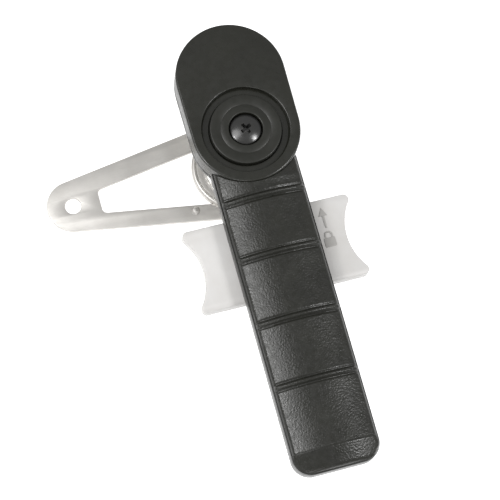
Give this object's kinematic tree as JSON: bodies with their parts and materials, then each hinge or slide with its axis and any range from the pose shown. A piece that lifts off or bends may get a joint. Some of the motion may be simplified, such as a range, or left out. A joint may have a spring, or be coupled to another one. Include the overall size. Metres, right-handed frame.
{
  "type": "hatch latch lever",
  "caption": "Swinging hatch dog: black ribbed lever on a tall post over a triangular stainless bracket, with a white sliding lock across the grip.",
  "frame": {"origin": "pivot axis at the underside of the bracket plate, at the mouth of the fixing thread", "axes": "+Z along the pivot axis away from the hatch frame; the grip runs along -Y, the nose along +Y, the bracket arm along -X, with the lever at rest across the bracket"},
  "size_m": [0.0861, 0.1372, 0.0394],
  "materials": {
    "stainless_sheet": "pale matt stainless sheet, fine grain, rounded edges",
    "stainless_turned": "turned stainless with fine rings",
    "stainless_fasteners": "satin stainless",
    "spring_steel": "bright drawn spring steel",
    "black_acetal": "black acetal, satin",
    "natural_acetal": "off-white acetal, satin",
    "black_disc": "black moulded plastic, faint turned rings",
    "black_screw": "black-coated steel, glossy, worn at the recess",
    "black_nylon_body": "black glass-filled nylon, satin",
    "black_nylon_cap": "black moulded nylon, fine matt grain",
    "pebbled_grip": "black moulded nylon, pebbled, semi-gloss",
    "white_slide": "white moulded acetal, satin"
  },
  "bodies": {
    "bracket": {"bracket_plate": "stainless_sheet", "pivot_post": "stainless_turned", "index_collar": "black_acetal", "thrust_washer": "natural_acetal", "wave_spring": "spring_steel", "pivot_disc": "black_disc", "pivot_screw": "black_screw"},
    "lever": {"lever_body": "black_nylon_body", "head_cap": "black_nylon_cap", "grip_cover": "pebbled_grip", "pivot_bush": "natural_acetal", "nose_pad": "natural_acetal", "nose_rivets": "stainless_fasteners", "keeper_plate": "stainless_sheet", "keeper_screws": "stainless_fasteners", "cap_screws": "stainless_fasteners", "grip_screws": "stainless_fasteners", "stop_pin": "stainless_fasteners", "detent_ball": "spring_steel", "detent_spring": "spring_steel"},
    "lock": {"lock_slide": "white_slide", "lock_tongue": "stainless_sheet", "tongue_rivets": "stainless_fasteners"}
  },
  "joints": [
    {"name": "lever_swing", "type": "hinge", "parent": "bracket", "child": "lever", "pos_m": [0, 0, 0], "axis": [0, 0, 1], "range_deg": [-90, 90]},
    {"name": "lock_travel", "type": "slide", "parent": "lever", "child": "lock", "axis": [0, 1, 0], "range_m": [0, 0.0045]}
  ]
}
